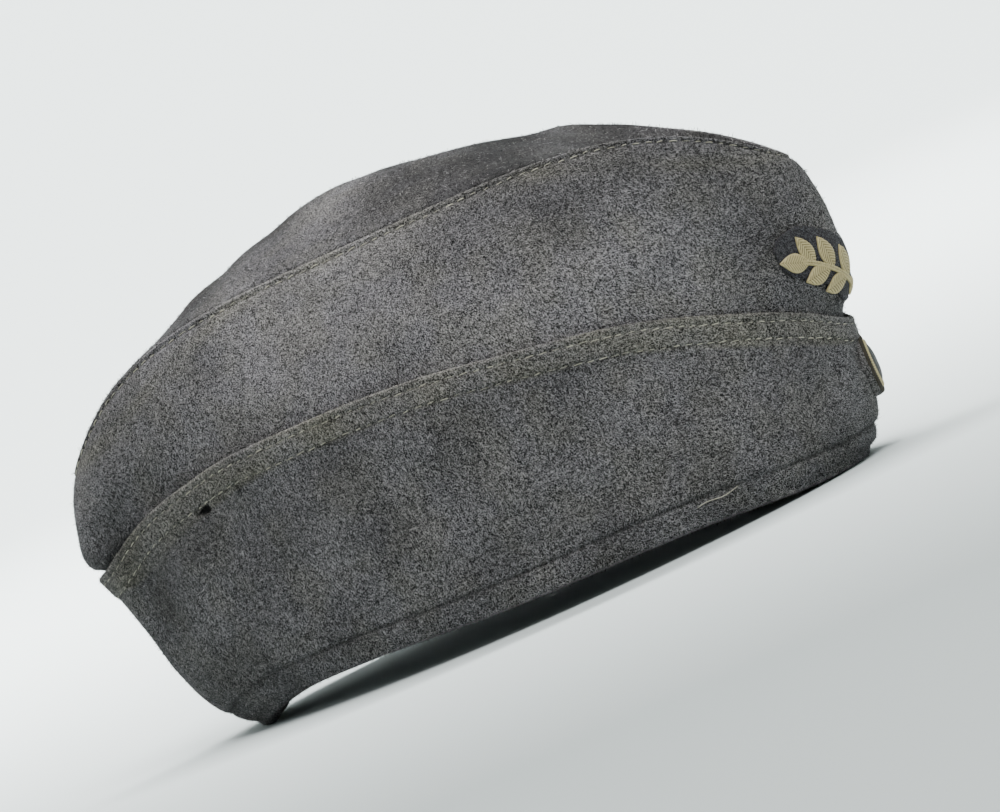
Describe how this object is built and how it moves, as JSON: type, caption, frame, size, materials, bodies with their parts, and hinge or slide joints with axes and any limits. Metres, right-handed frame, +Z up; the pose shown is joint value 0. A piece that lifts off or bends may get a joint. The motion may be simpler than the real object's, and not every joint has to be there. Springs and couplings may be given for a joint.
{
  "type": "garrison cap",
  "caption": "Wool garrison cap: soft boat-shaped crown open below, turn-up folded round the rim, leaf badge and round cockade in front.",
  "frame": {"origin": "on the surface the cap rests on, under the middle of its overall length and width", "axes": "+X to the front of the cap, +Y to the wearer's left, +Z up from the rim to the crown"},
  "size_m": [0.281, 0.1624, 0.1574],
  "materials": {
    "wool": "fulled melange wool, blue-grey, matt and slightly hairy",
    "backing_cloth": "dark grey wool badge cloth, matt",
    "cream_thread": "aged cream embroidery thread, soft sheen",
    "dark_cord": "dark wound cord, matt"
  },
  "bodies": {
    "root": {"crown_side_right": "wool", "crown_side_left": "wool", "crown_top": "wool", "turn_up_right": "wool", "turn_up_left": "wool", "badge_backing": "backing_cloth", "badge_sprig_right": "cream_thread", "badge_sprig_left": "cream_thread", "badge_knot": "cream_thread", "cockade_backing": "backing_cloth", "cockade_rim": "dark_cord", "cockade_ring": "cream_thread", "cockade_centre": "dark_cord"}
  },
  "joints": []
}
